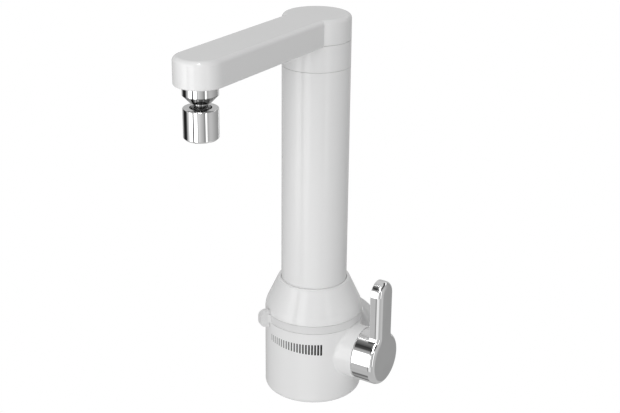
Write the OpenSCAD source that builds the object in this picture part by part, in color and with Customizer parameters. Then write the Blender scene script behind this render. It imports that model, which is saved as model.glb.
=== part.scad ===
// Wall-mounted electric water heater tap with a swivel spout. Lengths are in millimetres.
// Modelled about the column axis, then moved so that the origin is the wall inlet on the wall plane.
// Front and spout point to -Y, the lever sits on +X, the wall is at +Y.

/* [Base housing] */
// Radius of the round base housing
base_r = 37.4; // [36.5:0.1:41]
// Wall of the base housing
base_wall = 2.6; // [2:0.1:3]
// Floor of the base housing
floor_t = 3; // [2.6:0.1:4]
// Rounding of the bottom edge
base_edge_r = 4; // [2:0.5:5]

/* [Wall side] */
// Height of the wall inlet above the bottom of the base
inlet_h = 25; // [23:0.5:26]
// Column axis to the wall
axis_off = 62; // [60:1:75]
// Radius of the wall rosette
rosette_r = 25.5; // [23:0.5:32]
// Thickness of the wall rosette
rosette_t = 11; // [8:0.5:14]
// Rounding of the rosette's front edge
rosette_edge_r = 4; // [1:0.5:5]
// Radius of the neck between the base and the rosette
neck_r = 14.5; // [14.2:0.1:16]
// Radius over the thread of the half inch inlet nipple
thread_r = 10.48; // [10.2:0.01:10.6]
// Length of the nipple that goes into the wall fitting
thread_len = 14; // [10:0.5:20]
// Radius of the water bore of the nipple
pipe_bore_r = 7; // [5.5:0.1:7.5]

/* [Selector] */
// Height of the turning selector band
band_h = 6.1; // [5:0.1:8]
// Radial width of the band's ring
band_w = 4.3; // [3.8:0.1:5]
// How far the thumb tab stands out
tab_out = 8; // [5:0.5:12]
// Height of the thumb tab
tab_h = 13.6; // [10:0.2:15]
// Thickness of the thumb tab
tab_t = 4.5; // [3:0.1:6]
// Place of the tab at rest, from the front, to the left
tab_angle = 33.8; // [30:0.1:40]

/* [Shroud and column] */
// Height of the conical shroud
shroud_h = 25.6; // [25:0.1:32]
// Height of the shroud's corner above its lower edge
shoulder_h = 3.7; // [3:0.1:5]
// Width of the shroud's rim round the foot of the column
shroud_rim = 2.3; // [1.8:0.1:4]
// Wall of the shroud
shroud_wall = 2.5; // [2:0.1:3]
// Radius of the column
column_r = 25; // [24.5:0.1:25.8]
// Wall of the column tube
column_wall = 3; // [2:0.1:3.5]
// Length of column that shows above the shroud
column_h = 167.3; // [120:1:240]
// Height of the head ring between column and spout
head_h = 19.1; // [18.5:0.1:26]

/* [Spout] */
// Height of the spout hub
hub_h = 17.75; // [16.5:0.25:20]
// Reach of the spout, from the column axis to the nozzle axis
arm_reach = 138; // [110:1:180]
// Width of the spout arm
arm_w = 34.8; // [33:0.2:38]
// How far the arm's underside lies below the hub seam
arm_drop = 0.95; // [0.4:0.05:1.2]
// Wall of the spout shell
spout_wall = 2.4; // [1.8:0.1:2.8]
// Rounding of the spout's top edges
spout_edge_r = 3.3; // [1:0.1:4]

/* [Lever] */
// Lever axis above the wall inlet
lever_up = 13.3; // [12.5:0.1:15]
// Radius of the boss that carries the lever
boss_r = 20.5; // [20:0.1:21.5]
// How far the boss stands out of the base housing
boss_out = 8.3; // [7.5:0.1:12]
// Housing left between the boss and the selector seam
boss_margin = 1.2; // [0.8:0.1:4]
// Depth of the round chrome knob
knob_t = 18.8; // [17.5:0.1:22]
// Width of the lever
lever_w = 20.4; // [14:0.2:26]
// Thickness of the lever
lever_t = 9.2; // [6:0.1:12]
// Knob axis to the centre of the lever's round end
lever_len = 53.7; // [30:0.5:80]
// Rounding of the face edges of knob and lever
face_edge_r = 4.3; // [1:0.1:5]

/* [Aerator] */
// Radius of the aerator barrel
barrel_r = 11.7; // [11.5:0.1:13]
// Length of the aerator barrel
barrel_h = 20.8; // [20:0.1:26]
// Radius of the joint ball
ball_r = 8.6; // [8:0.1:8.7]
// Spout underside to the ball centre
ball_drop = 20.8; // [20.4:0.1:23]
// Radius of the fixed aerator cup
cup_r = 11.8; // [11.2:0.1:13]

/* [Heater and filter] */
// Radius of the heating coil
coil_r = 14; // [12.5:0.1:15]
// Radius of the resistance wire
wire_r = 0.9; // [0.5:0.1:1]
// Radius of the filter cartridge
filter_r = 19; // [15:0.5:20.5]

/* [Hidden] */
$fn = 96;

// Overrun of cuts, seam between housings, gap of a loose fit, slip fit and running fit
cut = 1;
seam = 0.25;
gap = 0.3;
slip = 0.15;
running = 0.06;

// Screws: shank, pilot and head radii, head height
screw_r = 1.5;
screw_hole_r = 1.9;
screw_head_r = 2.9;
screw_head_t = 1.8;
screw_thread_len = 8;

// Heights of the outside, from the bottom of the base, and the end of the lever's boss
lever_z = inlet_h + lever_up;
base_h = lever_z + boss_r + boss_margin;
boss_x = base_r + boss_out;
band_z = base_h + seam;
shroud_z = band_z + band_h + seam;
column_z = shroud_z + shroud_h;
head_z = column_z + column_h + seam;
hub_z = head_z + head_h + seam;
top_z = hub_z + hub_h;
arm_z = hub_z - arm_drop;

// Valve body, its ports and the quarter-turn cartridge, along X from the column axis
valve_r = 12.5;
valve_back = 8;
valve_seat_x = 12;
nut_in = 1.4;
valve_end_x = base_r - nut_in;
inlet_boss_r = 12;
inlet_boss_end = 33;
nipple_seat = 20;
port_r = 3.4;
port_y = 5;
outlet_tower_r = 6;
cartridge_r = 9.5;
cartridge_bore_r = 8.75;
cartridge_mouth = 11;
collar_r = 12;
collar_t = 3;
nut_t = 5;
seat_t = 1.2;
disc_r = 8.4;
disc_t = 3;
disc_port_r = 2.4;
disc_port_y = 4.6;
carrier_t = 3.4;
stem_r = 4;
stem_grip = 12;
seal_w = 0.55;
seal_groove_w = 1.4;
seal_step = 4;
film = 0.05;

// Frame, with four posts that the tie screws run through
plate_z = lever_z + valve_r + gap;
plate_t = 3;
plate_top = plate_z + plate_t;
post_count = 4;
post_r = 3.8;
post_clear = 0.2;
sleeve_r = base_r - band_w - gap;
sleeve_wall = 1.8;
post_pitch = sleeve_r - sleeve_wall - post_clear - post_r;
rim_r = base_r - shroud_wall - gap;
rim_h = 2.6;
rim_top = shroud_z + rim_h;

// Shroud seat for the column, with the groove that shows round it
shroud_top_r = column_r + shroud_rim;
seat_depth = 6;
seat_gap = 0.35;
web_t = 2.5;
seat_z = column_z - seat_depth;
web_z = seat_z - web_t;
web_hole_r = 14.5;
shroud_boss_r = 3.4;
shroud_lip_r = 0.8;
column_boss_r = 3.2;
column_boss_h = 8;
column_boss_pitch = column_r - column_wall - column_boss_r + slip * 2;

// Heating chamber and its lid
wiring_h = 7;
lid_t = 3;
tank_wall = 2;
tank_r = post_pitch - post_r - post_clear;
tank_z = plate_top;
lid_top = web_z - wiring_h;
gasket_t = 1;
tank_top = lid_top - lid_t - gasket_t;
lug_r = 3;
lug_pitch = tank_r + lug_r / 2;
lug_h = 8;
tower_in = 1.5;
tower_top = seat_z + column_boss_h + tower_in;
coil_turns = 5.5;
coil_foot = 2.4;
coil_lead_r = 9.2;
coil_z = tank_z + tank_wall + coil_foot;
coil_h = tank_top - coil_z - coil_foot;
coil_steps = 16;
wire_sides = 6;
core_r = 4.6;
core_fin_t = 1.6;
core_foot = 4;
terminal_r = 1.5;
terminal_out = 3;
spade_w = 4.8;
spade_t = 0.8;
spade_h = 3;
cutout_clear = 2.3;
cutout_r = (lug_pitch - screw_head_r - outlet_tower_r) / 2 - cutout_clear;
cutout_h = 4;

// Control board, strip of sensors, terminals and cable gland
board_t = 1.6;
board_foot = 4;
board_head = 6.1;
board_h = plate_z - floor_t - board_foot - board_head;
board_groove = 1.4;
part_h = 6;
part_in = post_side() - board_t / 2 - inlet_boss_r - gap;
strip_t = 0.8;
strip_h = 7;
strip_half_angle = 35;
block_w = 18;
block_d = 12;
block_h = 8;
block_back = 3.5;
block_y = base_r - base_wall - block_back - block_d;
gland_r = 4.6;
gland_flange_r = 5.6;
gland_bore_r = 3;
gland_tail_r = 3.9;
gland_tail = 7.5;
gland_flange_t = 1.6;
gland_back = 3.2;
gland_y = base_r - base_wall - gland_back - gland_flange_r;

// Filter cartridge between its base and its cap
filter_base_h = 12;
filter_neck_r = 6;
filter_neck_h = 4.5;
filter_wall = 1.6;
filter_bore_r = 3.4;
filter_cap_h = 8;
filter_base_z = seat_z + column_boss_h;
filter_z = filter_base_z + filter_base_h;
ring_w = 0.7;

// Swivel post, held between filter cap and head ring, and the spout's socket around it
spigot_h = 2.7;
flange_t = 3;
flange_z = head_z - spigot_h - flange_t;
filter_cap_z = flange_z - filter_cap_h;
swivel_r = 9;
swivel_bore_r = 5;
swivel_drop = 15.3;
post_top_z = top_z - swivel_drop;
socket_r = 12.5;
socket_up = 4.3;
socket_z = head_z + socket_up;
socket_head = 1.7;
socket_top = top_z - spout_wall - gap - socket_head;
head_wall = 3;
web_head_up = 7.7;
web_head_z = head_z + web_head_up;
web_head_t = 5;
clip_t = 1.2;
clip_w = 3;
clip_groove = 1;
clip_gap = 5;
clip_z = web_head_z - gap - clip_t;

// Spout inside: water tube, screws and floor plate
water_r = 5.5;
water_bore_r = 4;
water_drop = 10.3;
water_z = top_z - water_drop;
end_boss_r = 11;
floor_plate_t = 2;
floor_lift = 0.3;
spout_low_edge_r = 1.1;
spout_boss_r = 3;
spout_boss_x = (arm_w / 2 - spout_wall + water_r + gap) / 2;
spout_boss_share = 0.33;
spout_boss_far_share = 0.8;

// Aerator
aer_z = arm_z - ball_drop;
cup_straight = 6.9;
cup_cone = 4.6;
cup_tip_r = 7.4;
cup_cavity_r = 8.6;
cup_floor_t = 2.9;
spigot_r = 8.8;
spigot_bore_r = 6;
spigot_up = 5.5;
neck_stem_r = 4.5;
neck_flange_t = 2;
water_neck_r = 2.6;
ball_gap = 0.3;
barrel_above = 5.4;
barrel_bore_r = 9.6;
barrel_lip_r = 8.8;
barrel_lip_t = 1.3;
barrel_chamfer = 1.2;
barrel_top_edge_r = 0.8;
ball_seal_w = 0.8;
ball_seal_r = 6.4;
insert_h = 5.6;
insert_hole_r = 1;
insert_rings = 2;
insert_pitch = 3.2;

// Knob and lever
knob_x = boss_x + gap;
face_x = knob_x + knob_t;
knob_r = boss_r - 0.05;
knob_wall = 2.6;
knob_cavity = 12;
knob_hub_r = 8;
knob_hub_in = 2.4;
knob_back_edge_r = 0.6;
boss_wall = 3;
grub_r = 2;
grub_x = knob_x + 7;
neck_wall = 2.2;
rosette_wall = 1.8;
tab_edge_r = 5;
tab_clear = 0.4;
tab_fillet_r = 2.5;
magnet_r = 1.6;
magnet_t = 2.4;

module placed() {
    translate([0, -axis_off, -inlet_h]) children();
}

// Solid and hollow rounds that stand between two heights
module drum(r, low, high) {
    translate([0, 0, low]) cylinder(r = r, h = high - low);
}

module tube(r, bore, low, high) {
    difference() {
        drum(r, low, high);
        drum(bore, low - cut, high + cut);
    }
}

// Children drawn along Z run along X from x at the lever's height, or along Y from y at height z
module along_x(x) {
    translate([x, 0, lever_z]) rotate([0, 90, 0]) children();
}

module along_y(y, z) {
    translate([0, y, z]) rotate([-90, 0, 0]) children();
}

module at_posts() {
    for (i = [0 : post_count - 1])
        rotate((i + 0.5) * 360 / post_count) translate([post_pitch, 0, 0]) children();
}

module at_sides(pitch) {
    for (i = [0 : 3]) rotate(i * 90) translate([pitch, 0, 0]) children();
}

module at_nozzle() {
    translate([0, -arm_reach, 0]) children();
}

// The sharp part outside a rounded corner; turn 0 is the top right corner, 90 the top left
module corner(x, y, r, turn) {
    translate([x, y]) rotate(turn) translate([-r, -r]) difference() {
        square(r + cut);
        circle(r = r);
    }
}

module o_ring(r, w, z) {
    translate([0, 0, z]) rotate_extrude() translate([r, 0]) circle(r = w, $fn = 24);
}

// Pan head screw with its head below z and its shank up to z + len
module screw_up(z, len) {
    drum(screw_head_r, z - screw_head_t, z);
    drum(screw_r, z, z + len);
}

function arc(cx, cy, r, from, to, steps) =
    [for (i = [0 : steps]) let (a = from + (to - from) * i / steps) [cx + r * cos(a), cy + r * sin(a)]];

module base_housing() {
    color("whitesmoke") placed() difference() {
        union() {
            rotate_extrude() difference() {
                square([base_r, base_h]);
                corner(base_r, 0, base_edge_r, 270);
            }
            along_x(0) cylinder(r = boss_r, h = boss_x);
            along_y(0, inlet_h) cylinder(r = neck_r, h = axis_off - rosette_wall);
        }
        drum(base_r - base_wall, floor_t, base_h + cut);
        along_x(0) cylinder(r = boss_r - boss_wall, h = boss_x + cut);
        along_y(0, inlet_h) cylinder(r = neck_r - neck_wall, h = axis_off + cut);
        translate([0, gland_y, 0]) drum(gland_r + slip, -cut, floor_t + cut);
        at_posts() {
            drum(screw_hole_r, -cut, floor_t + cut);
            drum(screw_head_r + slip, -cut, screw_head_t);
        }
    }
}

module tie_screws() {
    color("silver") placed() at_posts()
        screw_up(screw_head_t, rim_top + screw_thread_len - screw_head_t);
}

module wall_rosette() {
    color("whitesmoke") placed() along_y(axis_off - rosette_t, inlet_h) rotate_extrude() difference() {
        translate([neck_r + gap, 0]) square([rosette_r - neck_r - gap, rosette_t]);
        corner(rosette_r, 0, rosette_edge_r, 270);
        translate([neck_r + gap + rosette_wall, rosette_wall])
            square([rosette_r - neck_r - gap - 2 * rosette_wall, rosette_t]);
    }
}

module inlet_nipple() {
    color("goldenrod") placed() difference() {
        union() {
            along_y(nipple_seat, inlet_h) cylinder(r = thread_r, h = axis_off - nipple_seat);
            along_y(inlet_boss_end, inlet_h)
                cylinder(r = inlet_boss_r, h = axis_off - inlet_boss_end);
            along_y(axis_off, inlet_h) cylinder(r = thread_r, h = thread_len);
        }
        along_y(nipple_seat - cut, inlet_h) cylinder(r = pipe_bore_r, h = axis_off + thread_len);
    }
}

module inlet_gasket() {
    color("dimgray") placed() along_y(nipple_seat - gasket_t, inlet_h)
        tube(thread_r - slip, pipe_bore_r, 0, gasket_t);
}

module inlet_strainer() {
    cup_len = thread_len - rosette_wall;
    color("silver") placed() along_y(axis_off + thread_len - cup_len, inlet_h) difference() {
        drum(pipe_bore_r - slip, 0, cup_len);
        drum(pipe_bore_r - slip - spade_t, spade_t, cup_len + cut);
        for (i = [0 : 5]) rotate(i * 30) translate([0, 0, cup_len / 2])
            cube([2 * pipe_bore_r + cut, spade_t, cup_len / 2], center = true);
    }
}

module valve_body() {
    color("goldenrod") placed() difference() {
        union() {
            along_x(-valve_back) cylinder(r = valve_r, h = valve_back + valve_end_x);
            along_y(-port_y, inlet_h) cylinder(r = inlet_boss_r, h = inlet_boss_end + port_y);
            translate([0, -port_y, 0]) drum(outlet_tower_r, lever_z, plate_top);
            drum(inlet_boss_r - valve_seat_x / 4, floor_t, inlet_h);
        }
        along_x(valve_seat_x) cylinder(r = cartridge_r + slip, h = valve_end_x);
        along_y(nipple_seat - gasket_t, inlet_h) cylinder(r = thread_r + slip, h = inlet_boss_end);
        along_y(0, inlet_h) cylinder(r = port_r, h = nipple_seat);
        translate([0, port_y, 0]) drum(port_r, inlet_h, lever_z);
        for (s = [-1, 1]) translate([0, s * port_y, 0]) along_x(0)
            cylinder(r = port_r, h = valve_seat_x + cut);
        translate([0, -port_y, 0]) drum(port_r, lever_z, plate_top + cut);
    }
}

module two_ports(len) {
    for (s = [-1, 1]) translate([0, s * disc_port_y, -cut]) cylinder(r = disc_port_r, h = len + 2 * cut);
}

module cartridge_seat() {
    color("dimgray") placed() along_x(valve_seat_x) difference() {
        cylinder(r = disc_r, h = seat_t);
        two_ports(seat_t);
    }
}

module fixed_disc() {
    color("lightgray") placed() along_x(valve_seat_x + seat_t) difference() {
        cylinder(r = disc_r, h = disc_t);
        two_ports(disc_t);
    }
}

module valve_cartridge() {
    start = valve_seat_x + seat_t;
    color("goldenrod") placed() along_x(start) difference() {
        union() {
            drum(cartridge_r, 0, boss_x - start);
            drum(collar_r, valve_end_x + nut_t - start, valve_end_x + nut_t + collar_t - start);
        }
        drum(cartridge_bore_r, -cut, cartridge_mouth);
        drum(stem_r + running, 0, boss_x);
    }
}

module cartridge_nut() {
    color("silver") placed() along_x(valve_end_x)
        tube(boss_r - boss_wall - gap, cartridge_r + slip, 0, nut_t);
}

module inner_frame() {
    color("gainsboro") placed() difference() {
        union() {
            drum(base_r - base_wall - gap, plate_z, plate_top);
            tube(sleeve_r, sleeve_r - sleeve_wall, plate_z, rim_top);
            tube(rim_r, sleeve_r - sleeve_wall, shroud_z, rim_top);
            at_posts() drum(post_r, floor_t, rim_top);
        }
        at_posts() drum(screw_hole_r, 0, rim_top + cut);
        translate([0, -port_y, 0]) drum(outlet_tower_r + slip, plate_z - cut, plate_top + cut);
        translate([board_x() - slip, -board_half() - slip, floor_t + board_foot])
            cube([board_t + 2 * slip, 2 * (board_half() + slip), board_h]);
    }
}

module heating_chamber() {
    color("silver") placed() difference() {
        union() {
            drum(tank_r, tank_z, tank_top);
            at_sides(lug_pitch) drum(lug_r, tank_top - lug_h, tank_top);
        }
        drum(tank_r - tank_wall, tank_z + tank_wall, tank_top + cut);
        translate([0, -port_y, 0]) drum(port_r, tank_z - cut, tank_z + tank_wall + cut);
        at_sides(lug_pitch) drum(screw_r + running, tank_top - lug_h + cut, tank_top + cut);
    }
}

module chamber_gasket() {
    color("dimgray") placed() tube(tank_r, tank_r - tank_wall, tank_top, tank_top + gasket_t);
}

module chamber_lid() {
    lid_z = tank_top + gasket_t;
    color("silver") placed() difference() {
        union() {
            drum(tank_r, lid_z, lid_top);
            at_sides(lug_pitch) drum(lug_r, tank_top, lid_top);
            drum(outlet_tower_r, lid_z, tower_top);
        }
        drum(tank_r - tank_wall, tank_top - cut, lid_z);
        at_sides(lug_pitch) drum(screw_hole_r, tank_top - cut, lid_top + cut);
        drum(port_r, tank_top, tower_top + cut);
        for (p = terminal_places()) translate(p) drum(terminal_r + running, tank_top, lid_top + cut);
        difference() {
            drum(tank_r + slip, tank_top - cut, lid_z);
            drum(tank_r - tank_wall - slip, tank_top - cut, lid_z);
        }
    }
}

module lid_screws() {
    color("silver") placed() at_sides(lug_pitch) {
        drum(screw_head_r, lid_top, lid_top + screw_head_t);
        drum(screw_r, tank_top - lug_h / 2, lid_top);
    }
}

module element_core() {
    fin_r = coil_r - wire_r - gap;
    low = tank_z + tank_wall;
    color("white") placed() union() {
        drum(core_r, low + core_foot, tank_top - coil_foot);
        for (a = [45, 135]) rotate(a) translate([-fin_r, -core_fin_t / 2, low])
            cube([2 * fin_r, core_fin_t, tank_top - coil_foot - low]);
    }
}

// The wire comes out from its lower lead, and then winds up round the core
function coil_route() = concat([[coil_lead_r, 0, 0], [coil_r - 2 * wire_r, 0, 0]],
    [for (i = [1 : coil_turns * coil_steps]) let (a = i * 360 / coil_steps)
        [coil_r * cos(a), coil_r * sin(a), coil_h * i / (coil_turns * coil_steps)]]);

function unit(v) = v / norm(v);

function heading(p, i) = unit(p[min(i + 1, len(p) - 1)] - p[max(i - 1, 0)]);

function wire_ring(p, i) = let (t = heading(p, i), u = unit(cross(t, [0, 0, 1])), v = cross(u, t))
    [for (k = [0 : wire_sides - 1]) let (a = k * 360 / wire_sides)
        p[i] + wire_r * (cos(a) * u + sin(a) * v)];

module swept_wire(p) {
    n = len(p);
    s = wire_sides;
    polyhedron([for (i = [0 : n - 1]) each wire_ring(p, i)],
        concat([[for (k = [0 : s - 1]) k]], [[for (k = [s - 1 : -1 : 0]) (n - 1) * s + k]],
            [for (i = [0 : n - 2], k = [0 : s - 1]) let (a = i * s + k, b = i * s + (k + 1) % s)
                each [[a, a + s, b], [b, a + s, b + s]]]));
}

module heating_coil() {
    color("silver") placed() translate([0, 0, coil_z]) swept_wire(coil_route());
}

// The two terminals stand over the wire's lower lead and over its upper end
function terminal_places() = [[coil_lead_r + terminal_r, 0, 0], [-coil_r, 0, 0]];

module element_terminals() {
    lows = [coil_z, coil_z + coil_h];
    color("goldenrod") placed() for (i = [0, 1]) translate(terminal_places()[i]) {
        drum(terminal_r, lows[i] + wire_r + slip, lid_top + terminal_out);
        translate([-spade_t / 2, -spade_w / 2, lid_top + terminal_out]) cube([spade_t, spade_w, spade_h]);
    }
}

module thermal_cutout() {
    color("black") placed() translate([0, -outlet_tower_r - cutout_clear - cutout_r, 0]) {
        drum(cutout_r, lid_top, lid_top + cutout_h);
        for (s = [-1, 1]) translate([s * cutout_r / 2 - spade_t / 2, -spade_w / 2, lid_top + cutout_h])
            cube([spade_t, spade_w, (web_z - lid_top - cutout_h) / 2]);
    }
}

// The board slides into grooves in the two posts on the side away from the lever
function post_side() = post_pitch * cos(45);
function board_half() = post_side() - post_r + board_groove;
function board_x() = -post_side() - board_t / 2;

module control_board() {
    color("seagreen") placed() translate([board_x(), -board_half(), floor_t + board_foot])
        cube([board_t, 2 * board_half(), board_h]);
}

module board_parts() {
    low = floor_t + board_foot;
    half = board_half() - board_groove - post_r / 2;
    color("darkslategray") placed() {
        translate([board_x() + board_t, -half, low + part_h]) cube([part_in, part_h * 2, part_h * 3 / 2]);
        translate([board_x() - part_h, -half, low + part_h]) cube([part_h, 2 * half, part_h * 2]);
        for (s = [0, 1]) translate([board_x() + board_t, half - part_h / 2, low + part_h * (1 + 2 * s)])
            rotate([0, 90, 0]) cylinder(r = part_h / 2, h = part_in);
    }
}

module sensor_strip() {
    r = sleeve_r - sleeve_wall - gap;
    color("seagreen") placed() rotate(-90 - strip_half_angle) rotate_extrude(angle = 2 * strip_half_angle)
        translate([r - strip_t, band_z - (strip_h - band_h) / 2]) square([strip_t, strip_h]);
}

module terminal_block() {
    color("white") placed() difference() {
        translate([-block_w / 2, block_y, plate_z - block_h]) cube([block_w, block_d, block_h]);
        for (i = [-1 : 1]) translate([i * block_w / 3, block_y - cut, plate_z - block_h / 2])
            rotate([-90, 0, 0]) cylinder(r = block_w / 10, h = block_d + 2 * cut);
    }
}

// The gland stands in the floor behind the inlet, with its tapered tail below the base
module cable_gland() {
    color("dimgray") placed() translate([0, gland_y, 0]) difference() {
        union() {
            drum(gland_r, 0, floor_t);
            drum(gland_flange_r, floor_t, floor_t + 2 * gland_flange_t);
            translate([0, 0, -gland_tail])
                cylinder(r1 = gland_tail_r, r2 = gland_flange_r, h = gland_tail);
        }
        drum(gland_bore_r, -gland_tail - cut, floor_t + 2 * gland_flange_t + cut);
    }
}

// Half outline of the shroud, drawn in by d, with a wide arc between its skirt and its cone
function shroud_outline(d) = let (
    corner_z = shroud_z + shoulder_h,
    lean = atan((base_r - shroud_top_r) / (column_z - corner_z)),
    round_r = shoulder_h / tan(lean / 2),
    low = d > 0 ? shroud_z - cut : shroud_z)
    concat([[0, low], [base_r - d, low]],
        arc(base_r - d - round_r, shroud_z, round_r, 0, lean, 8),
        [[shroud_top_r - d, column_z], [0, column_z]]);

module shroud() {
    color("whitesmoke") placed() difference() {
        rotate_extrude() difference() {
            polygon(shroud_outline(0));
            corner(shroud_top_r, column_z, shroud_lip_r, 0);
        }
        difference() {
            intersection() {
                rotate_extrude() polygon(shroud_outline(shroud_wall));
                drum(base_r, shroud_z - cut, web_z);
            }
            at_posts() drum(shroud_boss_r, rim_top, web_z + cut);
        }
        drum(column_r + seat_gap, seat_z, column_z + cut);
        drum(web_hole_r, web_z - cut, seat_z + cut);
        at_sides(column_boss_pitch) drum(screw_hole_r, web_z - cut, seat_z + cut);
        at_posts() drum(screw_r + running, rim_top - cut, rim_top + screw_thread_len + cut);
    }
}

module column_screws() {
    color("silver") placed() at_sides(column_boss_pitch)
        screw_up(web_z, web_t + column_boss_h / 2);
}

module column_tube() {
    color("whitesmoke") placed() difference() {
        union() {
            tube(column_r, column_r - column_wall, seat_z, head_z - seam);
            at_sides(column_boss_pitch) drum(column_boss_r, seat_z, filter_base_z);
        }
        at_sides(column_boss_pitch) drum(screw_r + running, seat_z - cut, filter_base_z - cut);
    }
}

module filter_base() {
    color("gainsboro") placed() difference() {
        drum(column_r - column_wall - gap, filter_base_z, filter_z);
        drum(outlet_tower_r + gap, filter_base_z - cut, filter_base_z + filter_neck_h);
        drum(filter_neck_r + gap, filter_z - filter_neck_h, filter_z + cut);
        drum(filter_bore_r, filter_base_z, filter_z);
    }
}

module filter_shell() {
    color("lightsteelblue") placed() difference() {
        union() {
            drum(filter_r, filter_z, filter_cap_z);
            drum(filter_neck_r, filter_z - filter_neck_h + gap, filter_cap_z + filter_neck_h - gap);
        }
        drum(filter_r - filter_wall, filter_z + filter_wall, filter_cap_z - filter_wall);
        drum(filter_bore_r, filter_z - filter_neck_h, filter_cap_z + filter_neck_h);
    }
}

module filter_media() {
    color("darkslategray") placed() tube(filter_r - filter_wall - gap, filter_bore_r,
        filter_z + filter_wall + gap, filter_cap_z - filter_wall - gap);
}

module filter_cap() {
    color("gainsboro") placed() difference() {
        drum(column_r - column_wall - gap, filter_cap_z, flange_z);
        drum(filter_neck_r + gap, filter_cap_z - cut, filter_cap_z + filter_neck_h);
        drum(filter_bore_r, filter_cap_z, flange_z + cut);
    }
}

// Each ring lies in the corner where a neck meets its flange's rounded lead-in
module filter_seals() {
    color("dimgray") placed() {
        tube(outlet_tower_r - slip, port_r, tower_top, filter_base_z + filter_neck_h);
        tube(filter_neck_r, filter_bore_r, filter_z - filter_neck_h, filter_z - filter_neck_h + gap);
        tube(filter_neck_r, filter_bore_r, filter_cap_z + filter_neck_h - gap, filter_cap_z + filter_neck_h);
    }
}

module head_ring() {
    spigot = column_r - column_wall - gap;
    color("whitesmoke") placed() union() {
        tube(column_r, column_r - head_wall, head_z, hub_z - seam);
        tube(column_r - head_wall + slip, socket_r + running, web_head_z, web_head_z + web_head_t);
        tube(column_r, spigot - head_wall, head_z, head_z + head_wall);
        tube(spigot, spigot - head_wall, head_z - spigot_h, head_z + head_wall);
    }
}

module swivel_post() {
    color("goldenrod") placed() difference() {
        union() {
            drum(column_r - column_wall - gap, flange_z, flange_z + flange_t);
            drum(swivel_r, flange_z, post_top_z);
        }
        drum(swivel_bore_r, flange_z - cut, post_top_z + cut);
        for (z = swivel_seal_heights())
            tube(swivel_r + cut, swivel_r - 2 * ring_w - film, z - ring_w - film, z + ring_w + film);
    }
}

function swivel_seal_heights() = [web_head_z, web_head_z + web_head_t];

module swivel_seals() {
    color("dimgray") placed() for (z = swivel_seal_heights()) o_ring(swivel_r - ring_w - film, ring_w, z);
}

module selector_ring() {
    mid = band_z + band_h / 2;
    root = base_r - cut;
    color("gainsboro") placed() rotate(-90 - tab_angle) difference() {
        union() {
            tube(base_r, base_r - band_w, band_z, band_z + band_h);
            translate([0, 0, band_z]) linear_extrude(band_h) difference() {
                translate([root, -tab_t / 2 - tab_fillet_r])
                    square([cut + tab_fillet_r, tab_t + 2 * tab_fillet_r]);
                for (s = [-1, 1]) translate([base_r + tab_fillet_r, s * (tab_t / 2 + tab_fillet_r)])
                    circle(r = tab_fillet_r);
            }
            difference() {
                translate([0, tab_t / 2, mid]) rotate([90, 0, 0]) linear_extrude(tab_t) difference() {
                    translate([root, -tab_h / 2]) square([cut + tab_out, tab_h]);
                    corner(base_r + tab_out, tab_h / 2, tab_edge_r, 0);
                    corner(base_r + tab_out, -tab_h / 2, tab_edge_r, 270);
                }
                drum(base_r + tab_clear, mid - tab_h, band_z);
                drum(base_r + tab_clear, band_z + band_h, mid + tab_h);
            }
        }
        translate([0, 0, mid]) rotate([0, 90, 0])
            drum(magnet_r + running, sleeve_r, base_r - band_w + magnet_t + running);
    }
}

module selector_magnet() {
    color("silver") placed() rotate(-90 - tab_angle) translate([0, 0, band_z + band_h / 2])
        rotate([0, 90, 0]) drum(magnet_r, base_r - band_w + running, base_r - band_w + magnet_t);
}

// Profile of a face with a rounded outer edge: half width w, thickness t
module edged(w, t) {
    difference() {
        square([w, t]);
        corner(w, t, face_edge_r, 0);
    }
}

module handle() {
    bar_x = face_x - lever_t;
    color("silver") placed() difference() {
        union() {
            along_x(knob_x) rotate_extrude() difference() {
                edged(knob_r, knob_t);
                corner(knob_r, 0, knob_back_edge_r, 270);
            }
            translate([0, 0, lever_z]) linear_extrude(lever_len) difference() {
                translate([bar_x, -lever_w / 2]) square([lever_t, lever_w]);
                corner(face_x, lever_w / 2, face_edge_r, 0);
                corner(face_x, -lever_w / 2, face_edge_r, 270);
            }
            translate([0, 0, lever_len]) along_x(bar_x) rotate_extrude() edged(lever_w / 2, lever_t);
        }
        along_x(knob_x) difference() {
            drum(knob_r - knob_wall, -cut, knob_cavity);
            drum(knob_hub_r, knob_hub_in, knob_cavity);
        }
        along_x(knob_x) drum(stem_r + running, 0, stem_grip);
        translate([grub_x, 0, 0]) drum(grub_r + running, lever_z - knob_r - cut, lever_z);
    }
}

module handle_screw() {
    color("dimgray") placed() translate([grub_x, 0, 0])
        drum(grub_r, lever_z - knob_hub_r, lever_z - stem_r - running);
}

module valve_stem() {
    start = valve_seat_x + seat_t + 2 * disc_t + film;
    stop = knob_x + stem_grip;
    color("goldenrod") placed() along_x(start) difference() {
        union() {
            drum(disc_r, 0, carrier_t);
            drum(stem_r, 0, stop - start);
        }
        for (z = stem_seal_places()) tube(stem_r + cut, stem_r - 2 * seal_w - film,
            z - start - seal_groove_w / 2, z - start + seal_groove_w / 2);
    }
}

function stem_seal_places() = [valve_end_x - seal_step, valve_end_x];

module stem_seals() {
    color("dimgray") placed() for (x = stem_seal_places()) along_x(x)
        o_ring(stem_r - seal_w, seal_w, 0);
}

module moving_disc() {
    color("lightgray") placed() along_x(valve_seat_x + seat_t + disc_t + film) difference() {
        cylinder(r = disc_r, h = disc_t);
        for (s = [-1, 1]) rotate(90) translate([0, s * disc_port_y, -cut])
            cylinder(r = disc_port_r, h = disc_t - slip);
    }
}

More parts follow.
